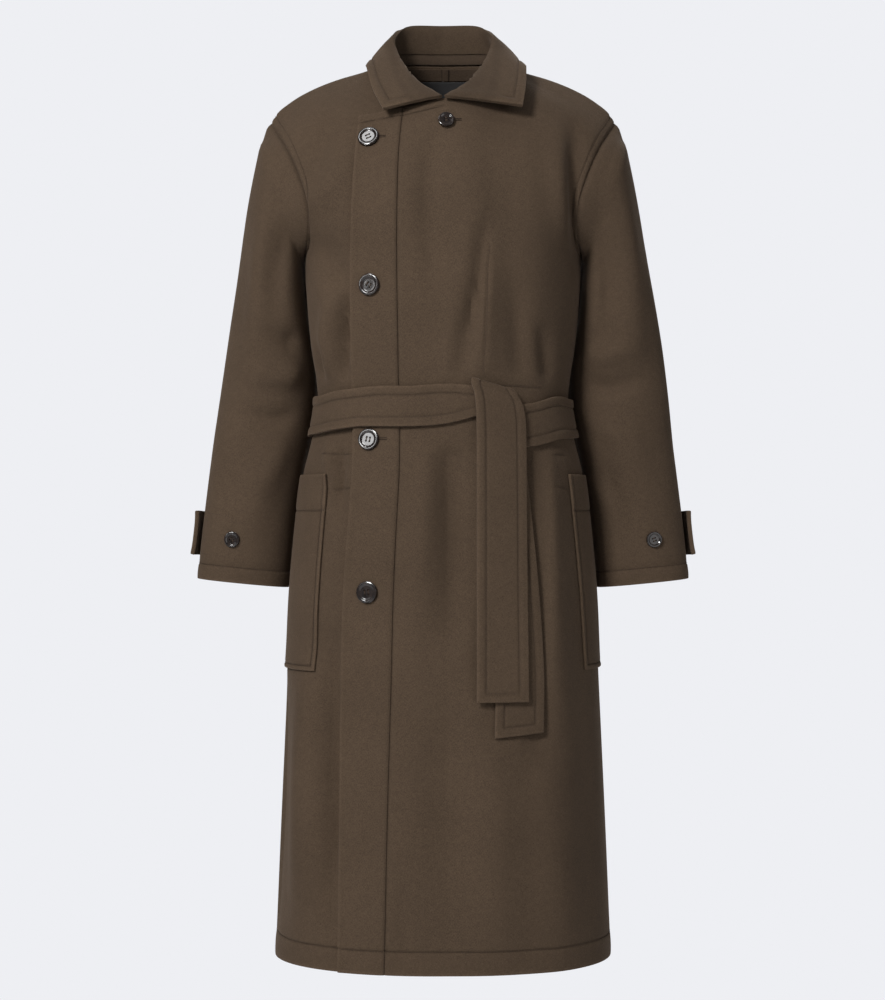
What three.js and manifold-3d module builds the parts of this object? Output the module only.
// Long wool wrap coat with a turned-down collar, a button band, a tied belt and patch pockets.
// It keeps the hollow form it has when worn: x to the wearer's left, y to the back, z up.
// The origin is at the base of the neck, midway between the two shoulder-neck points.
import * as THREE from 'three';
import Module from 'manifold-3d';
import { mergeVertices } from 'three/addons/utils/BufferGeometryUtils.js';

const wasm = await Module();
wasm.setup();

// Cloth and seams, in millimetres
const clothWall = 2.6;
const doubleWall = 5;
const bandWall = 4.2;
const facingWall = 1.4;
const seamGap = 0.3;
const armholeGap = 0.9;
const lapLift = 3.8;
const bandLift = 5.4;

// Heights of the body
const hemZ = -1180;
const underarmZ = -258;
const ringPower = 2 / 2.2;

// Body sections: height, half width at the side seam, depth to the front and to the back
const bodyRings = [
  { z: -1180, half: 223, front: 165, back: 150 },
  { z: -1005, half: 216, front: 158, back: 146 },
  { z: -786, half: 206, front: 149, back: 142 },
  { z: -700, half: 202, front: 145, back: 140 },
  { z: -610, half: 194, front: 141, back: 137 },
  { z: -545, half: 186, front: 136, back: 130 },
  { z: -500, half: 175, front: 131, back: 121 },
  { z: -455, half: 167, front: 128, back: 115 },
  { z: -425, half: 168, front: 128, back: 115 },
  { z: -371, half: 176, front: 130, back: 120 },
  { z: -300, half: 182, front: 130, back: 126 },
  { z: -258, half: 184, front: 128, back: 127 },
];
const skirtRowHeights = [
  -1180, -1010, -850, -720, -630, -565, -525, -490, -455, -425, -385, -330, -258,
];
const yokeRowShares = [0.12, 0.24, 0.36, 0.48, 0.6, 0.71, 0.81, 0.89, 0.95, 1];

// Armhole seam, from the underarm (share 0) to the shoulder tip (share 1)
const armhole = [
  { share: 0, x: 184, front: 0, back: 0, z: -258 },
  { share: 0.2, x: 178, front: -50, back: 48, z: -241 },
  { share: 0.4, x: 175, front: -76, back: 69, z: -206 },
  { share: 0.6, x: 184, front: -74, back: 71, z: -168 },
  { share: 0.8, x: 205, front: -49, back: 55, z: -119 },
  { share: 1, x: 231, front: 8, back: 8, z: -76 },
];

// Neckline and shoulder seam
const neckShare = 0.3;
const neckPoint = { x: 85, y: 15, z: 3 };
const neckFront = { y: -86, z: -60 };
const neckBack = { y: 72, z: 12 };
const shoulderSeam = [
  { x: 85, z: 3 },
  { x: 107, z: -5 },
  { x: 140, z: -15 },
  { x: 166, z: -25 },
  { x: 190, z: -37 },
  { x: 208, z: -49 },
  { x: 222, z: -61 },
  { x: 231, z: -76 },
];
const chestFullness = { front: 2.7, back: 2.3 };

// Overlap edge and band seam of the left front, measured from the centre line
const lapLines = [
  { z: -1180, edge: 132, band: 74 },
  { z: -982, edge: 130, band: 70 },
  { z: -794, edge: 128, band: 65 },
  { z: -706, edge: 126, band: 63 },
  { z: -630, edge: 121, band: 60 },
  { z: -523, edge: 114, band: 55 },
  { z: -398, edge: 116, band: 57 },
  { z: -243, edge: 117, band: 59 },
  { z: -138, edge: 113, band: 57 },
  { z: -60, edge: 106, band: 50 },
];
const underlapShare = 0.38;
// Shares across between which the lift of the overlap fades out, below and at the neckline
const lapFade = { start: 0.45, end: 0.9, neckFrom: 1.85, neckStart: 0.02, neckEnd: 0.26 };
const lapTopStart = 1.48;
// Top edge of the overlap: height at each distance past the centre line
const lapTop = [
  { x: 0, z: -60 },
  { x: 50, z: -72 },
  { x: 108, z: -82 },
  { x: 140, z: -86 },
];

// Sleeve sections: outer and inner points from the front, and the depth of each section
const sleeveSections = [
  { share: 0.06, outerX: 244, outerZ: -106, innerX: 188, innerZ: -264, y: 10, depth: 76 },
  { share: 0.14, outerX: 256, outerZ: -160, innerX: 186, innerZ: -290, y: 17, depth: 76 },
  { share: 0.24, outerX: 267, outerZ: -218, innerX: 182, innerZ: -330, y: 24, depth: 74 },
  { share: 0.36, outerX: 278, outerZ: -290, innerX: 175.5, innerZ: -375, y: 30, depth: 70 },
  { share: 0.48, outerX: 290, outerZ: -367, innerX: 170, innerZ: -425, y: 35, depth: 67 },
  { share: 0.62, outerX: 303, outerZ: -456, innerX: 175, innerZ: -482, y: 38, depth: 62 },
  { share: 0.72, outerX: 311, outerZ: -515, innerX: 186, innerZ: -532, y: 37, depth: 57 },
  { share: 0.82, outerX: 319, outerZ: -579, innerX: 196, innerZ: -592, y: 35, depth: 52 },
  { share: 0.91, outerX: 325, outerZ: -633, innerX: 202, innerZ: -645, y: 32, depth: 48 },
  { share: 1, outerX: 330, outerZ: -684, innerX: 207, innerZ: -696, y: 28, depth: 44 },
];
const sleeveSides = 18;
// Lean of the inner back corner of the sleeve, in behind the side of the body
const sleeveHug = [
  { share: 0.06, lean: 7 },
  { share: 0.14, lean: 13 },
  { share: 0.36, lean: 16 },
  { share: 0.62, lean: 14 },
  { share: 0.82, lean: 6 },
  { share: 1, lean: 2 },
];

// Collar: share 0 at the back centre, 1 at the front end
const rollLine = [
  { share: 0, x: 0, y: 75, z: 66 },
  { share: 0.25, x: 46, y: 62, z: 63 },
  { share: 0.5, x: 66, y: 24, z: 44 },
  { share: 0.68, x: 63, y: -8, z: 17 },
  { share: 0.8, x: 51, y: -38, z: -8 },
  { share: 0.9, x: 33, y: -70, z: -34 },
  { share: 1, x: 4, y: -95, z: -55 },
];
const leafEdgeLeft = [
  { share: 0, x: 0, y: 101, z: 0 },
  { share: 0.25, x: 64, y: 86, z: -1 },
  { share: 0.5, x: 106, y: 28, z: 1 },
  { share: 0.68, x: 109, y: -18, z: -7 },
  { share: 0.85, x: 108, y: -62, z: -38 },
  { share: 1, x: 103, y: -92, z: -69 },
];
const leafEdgeRight = [
  { share: 0, x: 0, y: 101, z: 0 },
  { share: 0.25, x: 62, y: 86, z: -1 },
  { share: 0.5, x: 98, y: 28, z: 1 },
  { share: 0.68, x: 100, y: -20, z: -8 },
  { share: 0.85, x: 92, y: -68, z: -42 },
  { share: 1, x: 77, y: -102, z: -75 },
];
const collarColumns = 20;
const collarLegRows = 8;
const standShare = 0.28;
const standLift = 2.4;
const standTopGap = { back: 0.6, front: 2.2 };
const leafWall = 4.6;
const rollReach = 8;
const rollSpread = 2.9;
const fullLeg = 36;
const frontClear = 0.35;
const collarFrontGap = 0.012;
const leafBulge = 4;

// Belt round the waist: turn from the front centre, going round by the wearer's right, the heights
// of its edges, and the lift of its middle off the body to clear the overlap and its band
const beltLine = [
  { turn: 14, top: -434, bottom: -471, lift: 7.2 },
  { turn: 0, top: -431, bottom: -483, lift: 7.2 },
  { turn: -14, top: -432, bottom: -485, lift: 8.9 },
  { turn: -25, top: -433, bottom: -486, lift: 9.1 },
  { turn: -36, top: -435, bottom: -486, lift: 9.1 },
  { turn: -46, top: -437, bottom: -489, lift: 9.1 },
  { turn: -60, top: -440, bottom: -492, lift: 6.5 },
  { turn: -75, top: -442, bottom: -494, lift: 4.2 },
  { turn: -90, top: -444, bottom: -496, lift: 3.8 },
  { turn: -180, top: -438, bottom: -496, lift: 3.8 },
  { turn: -270, top: -446, bottom: -497, lift: 3.8 },
  { turn: -288, top: -446, bottom: -499, lift: 4.3 },
  { turn: -305, top: -446, bottom: -502, lift: 6.4 },
  { turn: -326, top: -456, bottom: -512, lift: 7.3 },
  { turn: -340, top: -458, bottom: -513, lift: 7.3 },
];
const beltColumns = 44;

// Hanging belt ends: height and distance from the centre of both edges, and the lift of the middle
const frontTail = [
  { share: 0, leftX: 37, leftZ: -430, rightX: 84, rightZ: -443, lift: 3.3 },
  { share: 0.1, leftX: 35, leftZ: -425, rightX: 86, rightZ: -439, lift: 5.6 },
  { share: 0.2, leftX: 35, leftZ: -430, rightX: 90, rightZ: -446, lift: 9.1 },
  { share: 0.3, leftX: 39, leftZ: -446, rightX: 96, rightZ: -460, lift: 9.4 },
  { share: 0.42, leftX: 41, leftZ: -482, rightX: 99.5, rightZ: -490, lift: 9.4 },
  { share: 0.6, leftX: 41.5, leftZ: -590, rightX: 101.5, rightZ: -590, lift: 9 },
  { share: 1, leftX: 41.6, leftZ: -836, rightX: 104, rightZ: -836, lift: 9 },
];
const backTail = [
  { share: 0, leftX: 46, leftZ: -518, rightX: 101, rightZ: -517, lift: 2.9 },
  { share: 0.3, leftX: 54, leftZ: -620, rightX: 112, rightZ: -620, lift: 2.9 },
  { share: 0.6, leftX: 61, leftZ: -722, rightX: 121, rightZ: -721, lift: 2.9 },
  { share: 0.8, leftX: 65, leftZ: -802, rightX: 125.5, rightZ: -799, lift: 2.9 },
  { share: 1, leftX: 64.5, leftZ: -882, rightX: 124.5, rightZ: -876, lift: 2.9 },
];

// Patch pockets: turn of the front edge at the top and bottom, and of the back edge
const pocketTopZ = -546;
const pocketBottomZ = -800;
const pocketLift = 0.8;
const pockets = [
  { name: 'pocket_left', side: 1, frontTop: 58, frontBottom: 63, back: 124 },
  { name: 'pocket_right', side: -1, frontTop: 50, frontBottom: 50.5, back: 113 },
];

// Cuff straps: share along the sleeve, and the lift of the middle at each turn round it
const strapTop = 0.845;
const strapBottom = 0.945;
const strapLine = [
  { turn: 172, lift: 8.6 },
  { turn: 200, lift: 7.6 },
  { turn: 235, lift: 4.6 },
  { turn: 325, lift: 4.1 },
];
const strapTurns = [172, 180, 190, 205, 225, 250, 275, 300, 325];
// Steps across a strap or a hanging belt end
const crossSteps = [0, 1 / 3, 2 / 3, 1];

// Buttons: distance from the centre line and height, as seen from the front
const bigButton = { radius: 14, height: 3.6 };
const smallButton = { radius: 10.5, height: 3.2 };
const cuffButtonShare = 0.9;
const cuffButtonTurn = 104;
// Outline of a button from its middle out and back, in shares of its radius and height
const buttonProfile = [
  [0, 0],
  [0.82, 0],
  [1, 0.4],
  [0.97, 0.8],
  [0.88, 1],
  [0.72, 0.82],
  [0.62, 0.62],
  [0, 0.62],
];
const buttonSides = 20;
const buttonHoles = { count: 4, sides: 8, reach: 0.24, radius: 0.1 };
const buttonLift = 0.4;
const frontButtons = [
  { name: 'button_front_1', x: -95, z: -113 },
  { name: 'button_front_2', x: -92.5, z: -303 },
  { name: 'button_front_3', x: -93, z: -502 },
  { name: 'button_front_4', x: -95, z: -697 },
];
const neckButton = { name: 'button_neck', x: 4, z: -91 };

// Lining inside the back neck, as shares of the height of the yoke
const facingShares = { low: 1.935, high: 1.99, reach: 0.28 };
const liningShares = { low: 1.5, high: 1.93, reach: 0.73 };
const liningGap = 0.9;

// Small shares of a seam or row: the step for normals, a rounding margin and the farthest reach
const normalStep = 0.004;
const tiny = 0.001;
const reachLimit = 0.98;

const wool = { color: 0x54463b, roughness: 0.95, metalness: 0 };
const woolDark = { color: 0x4a3d34, roughness: 0.95, metalness: 0 };
const liningCloth = { color: 0x2b2a2a, roughness: 0.6, metalness: 0 };
const horn = { color: 0x262122, roughness: 0.25, metalness: 0 };

const coat = new THREE.Group();

// Value of one column at a station, on a smooth curve through the rows of a table
function readTable(rows, station, column, value) {
  const forward = rows[rows.length - 1][station] > rows[0][station];
  const ordered = forward ? rows : [...rows].reverse();
  const last = ordered.length - 1;
  let row = 0;
  while (row < last - 1 && value > ordered[row + 1][station]) {
    row += 1;
  }
  const slopeAt = (k) => {
    const low = ordered[Math.max(k - 1, 0)];
    const high = ordered[Math.min(k + 1, last)];
    return (high[column] - low[column]) / (high[station] - low[station]);
  };
  const from = ordered[row];
  const to = ordered[row + 1];
  const span = to[station] - from[station];
  const t = THREE.MathUtils.clamp((value - from[station]) / span, 0, 1);
  const rise = t * t * (3 - 2 * t);
  const bend = span * (t * (1 - t) * (1 - t) * slopeAt(row) - t * t * (1 - t) * slopeAt(row + 1));
  return from[column] * (1 - rise) + to[column] * rise + bend;
}

// Root of a rising function between two ends
function bisect(rising, low, high) {
  let from = low;
  let to = high;
  for (let step = 0; step < 30; step += 1) {
    const middle = (from + to) / 2;
    if (rising(middle) > 0) {
      to = middle;
    } else {
      from = middle;
    }
  }
  return (from + to) / 2;
}

const signedPower = (value, power) => Math.sign(value) * Math.abs(value) ** power;
const smooth = (t) => THREE.MathUtils.smoothstep(t, 0, 1);

// Point of a body section; the turn is 0 at the front centre and 180 at the back centre
function ringPoint(z, turn) {
  const angle = THREE.MathUtils.degToRad(turn);
  const half = readTable(bodyRings, 'z', 'half', z);
  const depth = readTable(bodyRings, 'z', Math.cos(angle) > 0 ? 'front' : 'back', z);
  const x = half * signedPower(Math.sin(angle), ringPower);
  const y = -depth * signedPower(Math.cos(angle), ringPower);
  return new THREE.Vector3(x, y, z);
}

function armholePoint(face, share) {
  const read = (column) => readTable(armhole, 'share', column, share);
  return new THREE.Vector3(read('x'), read(face), read('z'));
}

// Neckline up to the neck point, then the shoulder seam out to the tip
function topEdge(face, across) {
  const neck = face === 'front' ? neckFront : neckBack;
  if (across < neckShare) {
    const angle = (Math.PI / 2) * (across / neckShare);
    const y = neckPoint.y + (neck.y - neckPoint.y) * Math.cos(angle);
    const z = neck.z + (neckPoint.z - neck.z) * (1 - Math.cos(angle)) ** 1.2;
    return new THREE.Vector3(neckPoint.x * Math.sin(angle), y, z);
  }
  const t = (across - neckShare) / (1 - neckShare);
  const tip = armholePoint(face, 1);
  const x = neckPoint.x + (tip.x - neckPoint.x) * t;
  const y = neckPoint.y + (tip.y - neckPoint.y) * t;
  return new THREE.Vector3(x, y, readTable(shoulderSeam, 'x', 'z', x));
}

// Chest or upper back, filled in between the underarm row, the armhole, the centre and the top edge
function yokePoint(face, across, share) {
  const rowTurn = (s) => (face === 'front' ? 90 * s : 180 - 90 * s);
  const lowRow = ringPoint(underarmZ, rowTurn(across));
  const lowIn = ringPoint(underarmZ, rowTurn(0));
  const lowOut = ringPoint(underarmZ, rowTurn(1));
  const highRow = topEdge(face, across);
  const highIn = topEdge(face, 0);
  const highOut = topEdge(face, 1);
  const side = armholePoint(face, share);
  const eased = share ** chestFullness[face];
  const sideWeight = across * across;
  const centre = new THREE.Vector3(
    0,
    lowIn.y + (highIn.y - lowIn.y) * eased,
    lowIn.z + (highIn.z - lowIn.z) * share,
  );
  const point = new THREE.Vector3();
  for (const axis of ['x', 'y', 'z']) {
    const up = axis === 'y' ? eased : share;
    const rows = (1 - up) * lowRow[axis] + up * highRow[axis];
    const columns = (1 - sideWeight) * centre[axis] + sideWeight * side[axis];
    const inner = (1 - sideWeight) * ((1 - up) * lowIn[axis] + up * highIn[axis]);
    const outer = sideWeight * ((1 - up) * lowOut[axis] + up * highOut[axis]);
    point[axis] = rows + columns - inner - outer;
  }
  return point;
}

// Body cloth: across is 0 at the centre and 1 at the side seam or armhole, and below 0 past the
// centre; up is 0 at the hem, 1 at the underarm and 2 at the neckline and shoulder
function bodyPoint(face, across, up) {
  const reach = Math.abs(across);
  const turn = face === 'front' ? 90 * reach : 180 - 90 * reach;
  const skirt = () => ringPoint(hemZ + (underarmZ - hemZ) * up, turn);
  const yoke = () => yokePoint(face, Math.min(reach, 1), Math.min(up, 2) - 1);
  const point = up <= 1 ? skirt() : yoke();
  point.x *= across < 0 ? -1 : 1;
  return point;
}

function plainNormal(face, across, up) {
  const outer = up > 1 ? Math.min(across + normalStep, 1) : across + normalStep;
  const above = Math.min(up + normalStep, 2);
  const alongRow = bodyPoint(face, outer, up).sub(bodyPoint(face, across - normalStep, up));
  const alongColumn = bodyPoint(face, across, above).sub(bodyPoint(face, across, up - normalStep));
  const normal = alongRow.cross(alongColumn).normalize();
  const point = bodyPoint(face, across, up);
  const outward = new THREE.Vector3(point.x, point.y, Math.max(point.z - underarmZ, 0));
  return normal.dot(outward) < 0 ? normal.negate() : normal;
}

// Outward direction; both faces share one direction along the shoulder seam
function bodyNormal(face, across, up) {
  const normal = plainNormal(face, across, up);
  if (up > 2 - tiny && across >= neckShare - tiny) {
    normal.add(plainNormal(face === 'front' ? 'back' : 'front', across, up)).normalize();
  }
  return normal;
}

// Lift of the left front over the right front, fading out towards the side and shoulder seams
function lapHeight(across, up) {
  const rise = THREE.MathUtils.clamp((up - lapFade.neckFrom) / (2 - lapFade.neckFrom), 0, 1);
  const start = THREE.MathUtils.lerp(lapFade.start, lapFade.neckStart, rise);
  const end = THREE.MathUtils.lerp(lapFade.end, lapFade.neckEnd, rise);
  return lapLift * (1 - smooth((across - start) / (end - start)));
}

// Point of the outer face of the fronts; side is 1 for the wearer's left and -1 for the right
function frontOuter(side, across, up, extra = 0) {
  const lift = (side > 0 ? lapHeight(across, up) : 0) + extra;
  const point = bodyPoint('front', across, up).addScaledVector(bodyNormal('front', across, up), lift);
  point.x *= side;
  return point;
}

function frontNormal(side, across, up) {
  const normal = bodyNormal('front', across, up);
  normal.x *= side;
  return normal;
}

// Place on the front for a distance from the centre and a height, as seen from the front
function placeOnFront(x, z) {
  const reachAt = (up) => bisect((s) => bodyPoint('front', s, up).x - Math.abs(x), 0, reachLimit);
  const up =
    z <= underarmZ
      ? (z - hemZ) / (underarmZ - hemZ)
      : bisect((trial) => bodyPoint('front', reachAt(trial), trial).z - z, 1, 2);
  return { across: reachAt(up) * (x < 0 ? -1 : 1), up };
}

// Closed wall between an outer and an inner grid of points, open or wrapped round on itself
function wallGeometry(outer, inner, wraps = false) {
  const columns = outer.length;
  const rows = outer[0].length;
  const corners = [...outer.flat(), ...inner.flat()];
  const at = (layer, i, j) => layer * columns * rows + (i % columns) * rows + j;
  const faces = [];
  const quad = (a, b, c, d, crossed = false) => {
    faces.push(...(crossed ? [a, b, d, b, c, d] : [a, b, c, a, c, d]));
  };
  const spans = wraps ? columns : columns - 1;
  for (let i = 0; i < spans; i += 1) {
    for (let j = 0; j < rows - 1; j += 1) {
      const next = (i + 1) % columns;
      const rising = outer[i][j].distanceTo(outer[next][j + 1]);
      const crossed = rising > outer[next][j].distanceTo(outer[i][j + 1]);
      quad(at(0, i, j), at(0, i + 1, j), at(0, i + 1, j + 1), at(0, i, j + 1), crossed);
      quad(at(1, i, j), at(1, i, j + 1), at(1, i + 1, j + 1), at(1, i + 1, j), crossed);
    }
    quad(at(0, i, 0), at(1, i, 0), at(1, i + 1, 0), at(0, i + 1, 0));
    quad(at(0, i, rows - 1), at(0, i + 1, rows - 1), at(1, i + 1, rows - 1), at(1, i, rows - 1));
  }
  if (!wraps) {
    for (let j = 0; j < rows - 1; j += 1) {
      quad(at(0, 0, j), at(0, 0, j + 1), at(1, 0, j + 1), at(1, 0, j));
      quad(at(0, spans, j), at(1, spans, j), at(1, spans, j + 1), at(0, spans, j + 1));
    }
  }
  let volume = 0;
  for (let k = 0; k < faces.length; k += 3) {
    const [a, b, c] = [corners[faces[k]], corners[faces[k + 1]], corners[faces[k + 2]]];
    volume += a.dot(new THREE.Vector3().crossVectors(b, c));
  }
  const index = volume < 0 ? faces.reverse() : faces;
  const geometry = new THREE.BufferGeometry();
  const positions = corners.flatMap((corner) => corner.toArray());
  geometry.setAttribute('position', new THREE.Float32BufferAttribute(positions, 3));
  geometry.setIndex(index);
  geometry.computeVertexNormals();
  return geometry;
}

// Draws the edge points of a grid back from the seam, towards their neighbours
function pullEdge(grid, edge, distance) {
  const lastColumn = grid.length - 1;
  const lastRow = grid[0].length - 1;
  const pull = (point, neighbour) => {
    point.addScaledVector(neighbour.clone().sub(point).normalize(), distance);
  };
  if (edge === 'first' || edge === 'last') {
    const column = edge === 'first' ? 0 : lastColumn;
    const next = edge === 'first' ? 1 : lastColumn - 1;
    grid[column].forEach((point, j) => pull(point, grid[next][j]));
  } else {
    const row = edge === 'low' ? 0 : lastRow;
    const next = edge === 'low' ? 1 : lastRow - 1;
    grid.forEach((column) => pull(column[row], column[next]));
  }
}

function pullEdges(grids, edges, distance) {
  for (const grid of grids) {
    for (const edge of edges) {
      pullEdge(grid, edge, distance);
    }
  }
}

// Normals of a grid from its neighbouring points
function gridNormal(grid, i, j) {
  const left = grid[Math.max(i - 1, 0)][j];
  const right = grid[Math.min(i + 1, grid.length - 1)][j];
  const low = grid[i][Math.max(j - 1, 0)];
  const high = grid[i][Math.min(j + 1, grid[0].length - 1)];
  return right.clone().sub(left).cross(high.clone().sub(low)).normalize();
}

// Wall of even thickness on both sides of a middle grid
function wallOnMiddle(grid, wall) {
  const moved = (i, j, reach) => grid[i][j].clone().addScaledVector(gridNormal(grid, i, j), reach);
  const shifted = (reach) => grid.map((column, i) => column.map((_, j) => moved(i, j, reach)));
  return wallGeometry(shifted(wall / 2), shifted(-wall / 2));
}

function addPiece(name, geometry, look) {
  const mesh = new THREE.Mesh(geometry, new THREE.MeshStandardMaterial(look));
  mesh.name = name;
  coat.add(mesh);
  return mesh;
}

const skirtShares = skirtRowHeights.map((z) => (z - hemZ) / (underarmZ - hemZ));
const bodyShares = [...skirtShares, ...yokeRowShares.map((share) => 1 + share)];

// Distance past the centre at which a line of the overlap crosses a row of the body
function lapReach(lineAt, up) {
  return bisect((s) => {
    const point = bodyPoint('front', s, up);
    return point.x - lineAt(point.z);
  }, 0, reachLimit);
}

// Outer and inner grids of a front piece; each column gives its place across for a row of the body
function frontGrids(side, columns, extra, wall) {
  const outer = [];
  const inner = [];
  for (const column of columns) {
    const above = (up) => {
      const point = bodyPoint('front', column(up), up);
      return point.z - readTable(lapTop, 'x', 'z', Math.abs(point.x));
    };
    const top = column(1.5) < 0 ? bisect(above, 1, 2) : 2;
    const places = bodyShares.map((share) => {
      const squeeze = (top - lapTopStart) / (2 - lapTopStart);
      const up = share > lapTopStart ? lapTopStart + (share - lapTopStart) * squeeze : share;
      return { across: column(up), up };
    });
    outer.push(places.map(({ across, up }) => frontOuter(side, across, up, extra)));
    inner.push(places.map(({ across, up }) => frontOuter(side, across, up, extra - wall)));
  }
  return [outer, inner];
}

const neckColumns = [0, 0.06, 0.12, 0.18, 0.24, neckShare];
const mainColumns = [...neckColumns, underlapShare, 0.5, 0.62, 0.74, 0.87, 1];
const underlapColumns = [underlapShare, neckShare, 0.18, 0.06];
const edgeLine = (z) => readTable(lapLines, 'z', 'edge', z);
const bandLine = (z) => readTable(lapLines, 'z', 'band', z);

function addFronts() {
  const fixed = mainColumns.map((across) => () => across);
  const towardsBand = [1, 0.5].map((share) => (up) => -share * lapReach(bandLine, up));
  const left = frontGrids(1, [...towardsBand, ...fixed], 0, clothWall);
  pullEdges(left, ['first', 'last', 'high'], seamGap / 2);
  addPiece('front_left', wallGeometry(...left), wool);

  const acrossBand = [1, 2 / 3, 1 / 3, 0].map((share) => (up) => {
    const line = (z) => bandLine(z) + (edgeLine(z) - bandLine(z)) * share;
    return -lapReach(line, up);
  });
  const band = frontGrids(1, acrossBand, bandLift - lapLift, bandWall);
  pullEdges(band, ['last'], seamGap / 2);
  addPiece('front_left_band', wallGeometry(...band), wool);

  const underlap = underlapColumns.map((across) => () => -across);
  const right = frontGrids(-1, [...underlap, ...fixed], 0, clothWall);
  pullEdges(right, ['last', 'high'], seamGap / 2);
  addPiece('front_right', wallGeometry(...right), wool);
}

// Grids on the back cloth, moved in by a depth
function backGrids(side, columns, shares, depth, wall) {
  const place = (across, up, inset) => {
    const point = bodyPoint('back', across, up).addScaledVector(bodyNormal('back', across, up), -inset);
    point.x *= side;
    return point;
  };
  const layer = (inset) => columns.map((across) => shares.map((up) => place(across, up, inset)));
  return [layer(depth), layer(depth + wall)];
}

function addBacks() {
  for (const [name, side] of [['back_left', 1], ['back_right', -1]]) {
    const grids = backGrids(side, mainColumns, bodyShares, 0, clothWall);
    pullEdges(grids, ['first', 'last', 'high'], seamGap / 2);
    addPiece(name, wallGeometry(...grids), wool);
  }
}

function addNeckLining() {
  const mirrored = (reach) => {
    const half = [...mainColumns.filter((across) => across > 0 && across < reach), reach];
    return [...half.map((across) => -across).reverse(), 0, ...half];
  };
  const climb = (low, high) => [low, ...bodyShares.filter((up) => up > low && up < high), high];
  const addLayer = (name, { low, high, reach }, look) => {
    const grids = backGrids(1, mirrored(reach), climb(low, high), clothWall + liningGap, facingWall);
    addPiece(name, wallGeometry(...grids), look);
  };
  addLayer('back_neck_facing', facingShares, woolDark);
  addLayer('back_lining', liningShares, liningCloth);
}

// Sleeve cloth: turn 0 at the underarm, 90 at the front, 180 at the outer edge, 270 at the back
function sleeveRing(share, turn) {
  const read = (column) => readTable(sleeveSections, 'share', column, share);
  const angle = THREE.MathUtils.degToRad(turn);
  const across = (1 - signedPower(Math.cos(angle), ringPower)) / 2;
  const corner = 2 * Math.max(-Math.sin(angle), 0) * Math.max(Math.cos(angle), 0);
  const lean = readTable(sleeveHug, 'share', 'lean', share) * corner;
  const x = read('innerX') + (read('outerX') - read('innerX')) * across - lean;
  const z = read('innerZ') + (read('outerZ') - read('innerZ')) * across;
  return new THREE.Vector3(x, read('y') - read('depth') * signedPower(Math.sin(angle), ringPower), z);
}

function sleevePoint(share, turn) {
  const first = sleeveSections[0].share;
  const round = THREE.MathUtils.euclideanModulo(turn, 360);
  if (share >= first) {
    return sleeveRing(share, round);
  }
  const front = round <= 180;
  const seam = armholePoint(front ? 'front' : 'back', (front ? round : 360 - round) / 180);
  return seam.lerp(sleeveRing(first, round), share / first);
}

function sleeveNormal(share, turn) {
  const low = Math.max(share - normalStep, 0);
  const high = Math.min(share + normalStep, 1);
  const along = sleevePoint(high, turn).sub(sleevePoint(low, turn));
  const round = sleevePoint(share, turn + 2).sub(sleevePoint(share, turn - 2));
  const normal = along.cross(round).normalize();
  const centre = sleevePoint(share, 0).add(sleevePoint(share, 180)).multiplyScalar(0.5);
  return normal.dot(sleevePoint(share, turn).sub(centre)) < 0 ? normal.negate() : normal;
}

function sleeveLifted(side, share, turn, lift) {
  const point = sleevePoint(share, turn).addScaledVector(sleeveNormal(share, turn), lift);
  point.x *= side;
  return point;
}

function addSleeve(name, side) {
  const shares = [0, ...sleeveSections.map((section) => section.share)];
  const turns = Array.from({ length: sleeveSides }, (_, k) => (360 * k) / sleeveSides);
  const column = (turn, lift) => shares.map((share) => sleeveLifted(side, share, turn, lift));
  const layer = (lift) => turns.map((turn) => column(turn, lift));
  const grids = [layer(0), layer(-clothWall)];
  pullEdges(grids, ['low'], armholeGap);
  addPiece(name, wallGeometry(...grids, true), wool);
}

// Strap round the back of the sleeve, standing off at the outer edge
function addCuffStrap(name, side) {
  const grid = strapTurns.map((turn) => {
    const lift = readTable(strapLine, 'turn', 'lift', turn);
    const shares = crossSteps.map((step) => THREE.MathUtils.lerp(strapTop, strapBottom, step));
    return shares.map((share) => sleeveLifted(side, share, turn, lift));
  });
  addPiece(name, wallOnMiddle(grid, doubleWall), wool);
}

// Collar lines at a place from -1 (the wearer's right front end) to 1 (the left front end)
function collarLines(place) {
  const share = Math.abs(place);
  const side = Math.sign(place) || 1;
  const read = (rows) => {
    const at = (column) => readTable(rows, 'share', column, share);
    return new THREE.Vector3(side * at('x'), at('y'), at('z'));
  };
  const face = share < 0.5 ? 'back' : 'front';
  const across = share < 0.5 ? share * 2 * neckShare : (1 - share) * 2 * neckShare + collarFrontGap;
  const reach = Math.min(across, neckShare - 2 * tiny);
  const lift = (side > 0 && face === 'front' ? lapHeight(reach, 2) : 0) - clothWall / 2;
  const seam = bodyPoint(face, reach, 2).addScaledVector(bodyNormal(face, reach, 2), lift);
  seam.x *= side;
  const roll = read(rollLine);
  seam.addScaledVector(roll.clone().sub(seam).normalize(), standLift);
  const edge = read(side > 0 ? leafEdgeLeft : leafEdgeRight);
  const joint = seam.clone().lerp(roll, standShare);
  return { seam, joint, roll, edge };
}

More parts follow.
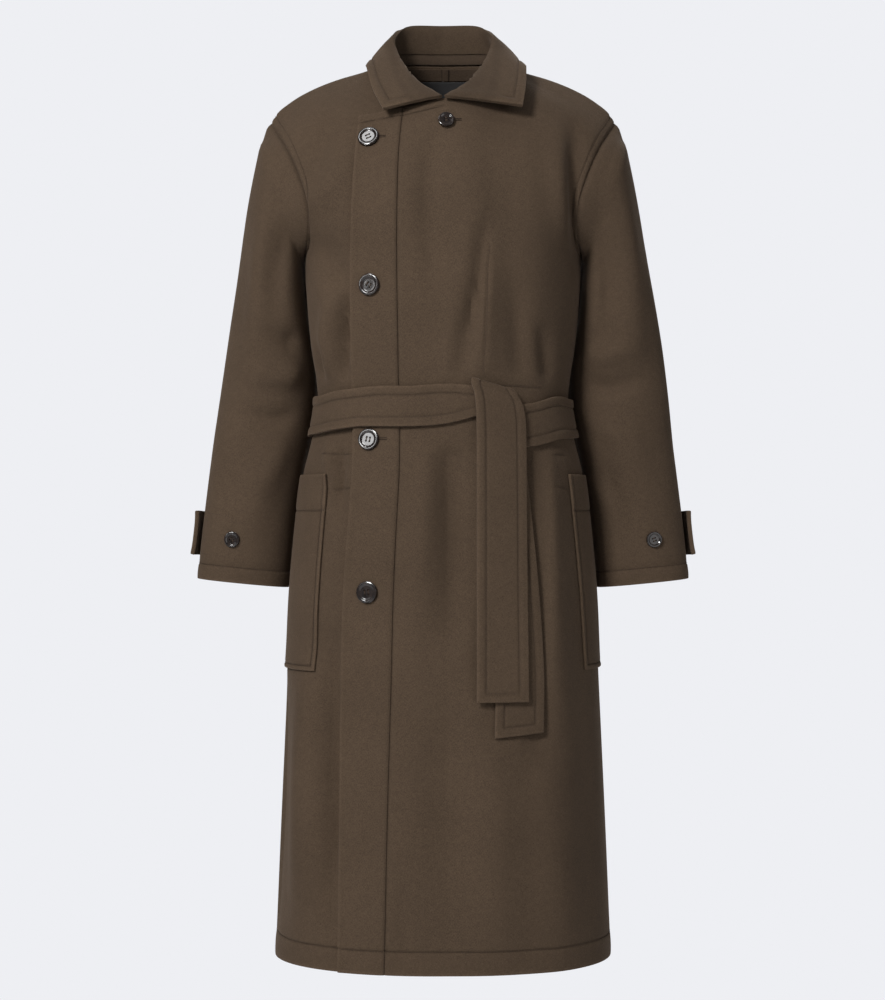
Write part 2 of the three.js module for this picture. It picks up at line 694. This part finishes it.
// Section of the turned-down leaf, from the stand seam over the roll to the outer edge
function leafSection(place) {
  const { joint, roll, edge } = collarLines(place);
  const inward = joint.clone().sub(roll).normalize();
  const outward = edge.clone().sub(roll).normalize();
  const apart = outward.clone().sub(inward).normalize();
  joint.lerp(roll, frontClear * Math.abs(place) ** 4);
  const leg = joint.distanceTo(roll);
  const reach = Math.min(rollReach, leg * 0.6);
  const spread = rollSpread * Math.min(leg / fullLeg, 1);
  const middle = roll.clone().lerp(edge, 0.5).addScaledVector(apart, leafBulge);
  const curve = new THREE.CatmullRomCurve3([
    joint,
    roll.clone().addScaledVector(inward, reach).addScaledVector(apart, -spread),
    roll,
    roll.clone().addScaledVector(outward, rollReach).addScaledVector(apart, rollSpread),
    middle,
    edge,
  ]);
  return curve.getSpacedPoints(collarLegRows);
}

function addCollar() {
  const places = Array.from({ length: collarColumns + 1 }, (_, k) => (2 * k) / collarColumns - 1);
  const leaf = places.map(leafSection);
  addPiece('collar_leaf', wallOnMiddle(leaf, leafWall), wool);
  const stand = places.map((place) => {
    const { seam, joint } = collarLines(place);
    const gap = THREE.MathUtils.lerp(standTopGap.back, standTopGap.front, Math.abs(place) ** 4);
    const top = joint.clone().addScaledVector(seam.clone().sub(joint).normalize(), gap);
    return [seam, seam.clone().lerp(top, 0.5), top];
  });
  addPiece('collar_stand', wallOnMiddle(stand, clothWall), woolDark);
}

// Point of the body below the yoke at a turn from -180 to 180, moved out by a lift
function waistPoint(turn, z, lift) {
  const across = Math.abs(turn) / 90;
  const face = across <= 1 ? 'front' : 'back';
  const reach = across <= 1 ? across : 2 - across;
  const up = (z - hemZ) / (underarmZ - hemZ);
  const point = bodyPoint(face, reach, up).addScaledVector(bodyNormal(face, reach, up), lift);
  point.x *= turn < 0 ? -1 : 1;
  return point;
}

function addBelt() {
  const first = beltLine[0].turn;
  const last = beltLine[beltLine.length - 1].turn;
  const grid = Array.from({ length: beltColumns + 1 }, (_, k) => {
    const turn = first + ((last - first) * k) / beltColumns;
    const read = (column) => readTable(beltLine, 'turn', column, turn);
    const round = turn < -180 ? turn + 360 : turn;
    const heights = [0, 0.5, 1].map((step) => THREE.MathUtils.lerp(read('bottom'), read('top'), step));
    return heights.map((z) => waistPoint(round, z, read('lift')));
  });
  addPiece('belt_waist', wallOnMiddle(grid, doubleWall), wool);
}

function addTail(name, rows, count) {
  const shares = Array.from({ length: count + 1 }, (_, k) => k / count);
  const grid = crossSteps.map((step) =>
    shares.map((share) => {
      const read = (column) => readTable(rows, 'share', column, share);
      const x = THREE.MathUtils.lerp(read('leftX'), read('rightX'), step);
      const z = THREE.MathUtils.lerp(read('leftZ'), read('rightZ'), step);
      const { across, up } = placeOnFront(x, z);
      return frontOuter(1, across, up, read('lift'));
    }),
  );
  addPiece(name, wallOnMiddle(grid, doubleWall), wool);
}

function addPocket({ name, side, frontTop, frontBottom, back }) {
  const columns = 8;
  const between = skirtRowHeights.filter((z) => z > pocketBottomZ && z < pocketTopZ);
  const heights = [pocketBottomZ, ...between, pocketTopZ];
  const layer = (lift) =>
    Array.from({ length: columns + 1 }, (_, i) =>
      heights.map((z) => {
        const climb = (z - pocketBottomZ) / (pocketTopZ - pocketBottomZ);
        const front = THREE.MathUtils.lerp(frontBottom, frontTop, climb);
        const turn = THREE.MathUtils.lerp(front, back, i / columns);
        const up = (z - hemZ) / (underarmZ - hemZ);
        if (turn <= 90) {
          return frontOuter(side, turn / 90, up, lift);
        }
        const across = 2 - turn / 90;
        const normal = bodyNormal('back', across, up);
        const point = bodyPoint('back', across, up).addScaledVector(normal, lift);
        point.x *= side;
        return point;
      }),
    );
  addPiece(name, wallGeometry(layer(pocketLift + clothWall), layer(pocketLift)), wool);
}

function toManifold(geometry) {
  const bare = geometry.clone();
  bare.deleteAttribute('normal');
  bare.deleteAttribute('uv');
  const merged = mergeVertices(bare, 0.0001);
  return new wasm.Manifold(
    new wasm.Mesh({
      numProp: 3,
      vertProperties: new Float32Array(merged.attributes.position.array),
      triVerts: new Uint32Array(merged.index.array),
    }),
  );
}

function toGeometry(manifold) {
  const mesh = manifold.getMesh();
  const geometry = new THREE.BufferGeometry();
  geometry.setAttribute('position', new THREE.Float32BufferAttribute(mesh.vertProperties, 3));
  geometry.setIndex([...mesh.triVerts]);
  geometry.computeVertexNormals();
  return geometry;
}

// Round button with a raised rim, a dished middle and four holes, its back at z = 0
function buttonGeometry({ radius, height }) {
  const profile = buttonProfile.map(([reach, rise]) => new THREE.Vector2(radius * reach, height * rise));
  const disc = new THREE.LatheGeometry(profile, buttonSides);
  disc.rotateX(Math.PI / 2);
  let solid = toManifold(disc);
  const holeReach = radius * buttonHoles.reach;
  const holeRadius = radius * buttonHoles.radius;
  for (let k = 0; k < buttonHoles.count; k += 1) {
    const angle = Math.PI / 4 + (k * Math.PI) / 2;
    const hole = new THREE.CylinderGeometry(holeRadius, holeRadius, height * 3, buttonHoles.sides);
    hole.rotateX(Math.PI / 2);
    hole.translate(holeReach * Math.cos(angle), holeReach * Math.sin(angle), 0);
    solid = solid.subtract(toManifold(hole));
  }
  return toGeometry(solid);
}

function addButton(name, size, point, normal) {
  const button = addPiece(name, buttonGeometry(size), horn);
  button.position.copy(point).addScaledVector(normal, buttonLift);
  button.quaternion.setFromUnitVectors(new THREE.Vector3(0, 0, 1), normal);
}

function addButtons() {
  for (const { name, x, z } of frontButtons) {
    const { across, up } = placeOnFront(x, z);
    const place = frontOuter(1, across, up, bandLift - lapLift);
    addButton(name, bigButton, place, frontNormal(1, across, up));
  }
  const { across, up } = placeOnFront(neckButton.x, neckButton.z);
  addButton(neckButton.name, smallButton, frontOuter(1, across, up), frontNormal(1, across, up));
  for (const [name, side] of [['button_cuff_left', 1], ['button_cuff_right', -1]]) {
    const normal = sleeveNormal(cuffButtonShare, cuffButtonTurn);
    normal.x *= side;
    addButton(name, smallButton, sleeveLifted(side, cuffButtonShare, cuffButtonTurn, 0), normal);
  }
}

addFronts();
addBacks();
addNeckLining();
addSleeve('sleeve_left', 1);
addSleeve('sleeve_right', -1);
addCollar();
addBelt();
addTail('belt_tail_back', backTail, 9);
addTail('belt_tail_front', frontTail, 14);
pockets.forEach(addPocket);
addCuffStrap('cuff_strap_left', 1);
addCuffStrap('cuff_strap_right', -1);
addButtons();

export default coat;
